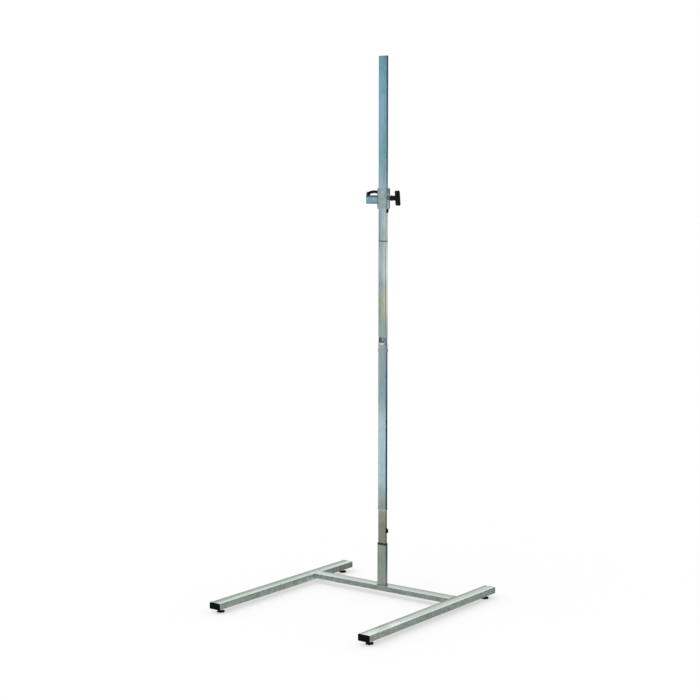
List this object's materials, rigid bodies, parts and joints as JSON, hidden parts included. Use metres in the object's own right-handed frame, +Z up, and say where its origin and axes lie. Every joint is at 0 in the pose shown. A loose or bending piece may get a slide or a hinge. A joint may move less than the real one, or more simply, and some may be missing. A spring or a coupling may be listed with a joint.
{
  "type": "flag pole stand",
  "caption": "Free-standing sectional mast of slim zinc-plated tube on an H-shaped floor base, with a clamped slider that carries a short arm and a cam lever.",
  "frame": {"origin": "middle of the base's footprint, on the floor", "axes": "+Z up the mast; the floor rails run along Y, their longer ends towards -Y; the slider's arm points to -X"},
  "size_m": [0.9, 1.008, 2.524],
  "materials": {
    "zinc_steel": "bright zinc plating with faint bands",
    "weld_steel": "zinc-plated weld bead",
    "bright_steel": "plain bright steel",
    "spring_steel": "blued spring strip",
    "cast_zinc": "tumbled casting",
    "black_steel": "black coating",
    "black_plastic": "fine matt moulding",
    "pale_nylon": "natural nylon"
  },
  "bodies": {
    "base": {"left_rail": "zinc_steel", "right_rail": "zinc_steel", "cross_tube": "zinc_steel", "mast_socket": "zinc_steel", "base_welds": "weld_steel", "socket_bush": "black_plastic", "front_left_cap": "black_plastic", "front_right_cap": "black_plastic", "rear_left_cap": "black_plastic", "rear_right_cap": "black_plastic", "foot_nuts": "bright_steel"},
    "front_left_leveller": {"front_left_foot": "black_plastic", "front_left_stud": "bright_steel"},
    "front_right_leveller": {"front_right_foot": "black_plastic", "front_right_stud": "bright_steel"},
    "rear_left_leveller": {"rear_left_foot": "black_plastic", "rear_left_stud": "bright_steel"},
    "rear_right_leveller": {"rear_right_foot": "black_plastic", "rear_right_stud": "bright_steel"},
    "spigot": {"lower_spigot": "zinc_steel", "catch_spring": "spring_steel"},
    "catch": {"snap_catch": "black_plastic"},
    "lower_mast": {"lower_tube": "zinc_steel", "lower_collar": "zinc_steel", "lower_bush": "pale_nylon", "joint_ferrule": "cast_zinc", "joint_spigot": "zinc_steel", "joint_rivets": "bright_steel", "button_spring": "spring_steel"},
    "button": {"snap_button": "bright_steel"},
    "middle_mast": {"middle_tube": "zinc_steel", "top_spigot": "zinc_steel", "top_rivets": "bright_steel"},
    "top_mast": {"top_tube": "zinc_steel", "top_plug": "black_plastic"},
    "slider": {"slider_sleeve": "zinc_steel", "slider_arm": "zinc_steel", "arm_weld": "weld_steel", "lever_bracket": "black_steel", "lever_pin": "bright_steel", "pin_clip": "spring_steel", "clamp_nut": "bright_steel", "pressure_pad": "black_plastic"},
    "lever": {"cam_lever": "black_plastic"},
    "clamp_screw": {"clamp_stud": "bright_steel"},
    "t_handle": {"clamp_handle": "black_plastic"}
  },
  "joints": [
    {"name": "front_left_foot_turn", "type": "hinge", "parent": "base", "child": "front_left_leveller", "pos_m": [-0.42, -0.46, 0], "axis": [0, 0, 1], "range_deg": [-360, 360]},
    {"name": "front_right_foot_turn", "type": "hinge", "parent": "base", "child": "front_right_leveller", "pos_m": [0.42, -0.46, 0], "axis": [0, 0, 1], "range_deg": [-360, 360]},
    {"name": "rear_left_foot_turn", "type": "hinge", "parent": "base", "child": "rear_left_leveller", "pos_m": [-0.42, 0.46, 0], "axis": [0, 0, 1], "range_deg": [-360, 360]},
    {"name": "rear_right_foot_turn", "type": "hinge", "parent": "base", "child": "rear_right_leveller", "pos_m": [0.42, 0.46, 0], "axis": [0, 0, 1], "range_deg": [-360, 360]},
    {"name": "mast_lift_out", "type": "slide", "parent": "base", "child": "spigot", "axis": [0, 0, 1], "range_m": [0, 0.18]},
    {"name": "catch_press", "type": "slide", "parent": "spigot", "child": "catch", "axis": [-1, 0, 0], "range_m": [0, 0.0085], "stiffness_N_per_m": 500, "springref_m": -0.004, "deforming": ["catch_spring"]},
    {"name": "mast_height", "type": "slide", "parent": "spigot", "child": "lower_mast", "axis": [0, 0, 1], "range_m": [-0.08, 0.15]},
    {"name": "button_press", "type": "slide", "parent": "lower_mast", "child": "button", "axis": [0, 1, 0], "range_m": [0, 0.0055], "stiffness_N_per_m": 600, "springref_m": -0.003, "deforming": ["button_spring"]},
    {"name": "upper_mast_lift_off", "type": "slide", "parent": "lower_mast", "child": "middle_mast", "axis": [0, 0, 1], "range_m": [0, 0.14]},
    {"name": "top_tube_lift_off", "type": "slide", "parent": "middle_mast", "child": "top_mast", "axis": [0, 0, 1], "range_m": [0, 0.11]},
    {"name": "slider_height", "type": "slide", "parent": "top_mast", "child": "slider", "axis": [0, 0, 1], "range_m": [-0.56, 0.58]},
    {"name": "lever_swing", "type": "hinge", "parent": "slider", "child": "lever", "pos_m": [-0.086, 0.218, 1.896], "axis": [0, -1, 0], "range_deg": [0, 110]},
    {"name": "clamp_travel", "type": "slide", "parent": "slider", "child": "clamp_screw", "axis": [1, 0, 0], "range_m": [0, 0.006]},
    {"name": "clamp_turn", "type": "hinge", "parent": "clamp_screw", "child": "t_handle", "pos_m": [0, 0.218, 1.876], "axis": [1, 0, 0], "range_deg": [0, 1440]}
  ],
  "couplings": [
    {"joint": "clamp_turn", "follows": "clamp_travel", "rad_per_m": 4188.8}
  ]
}
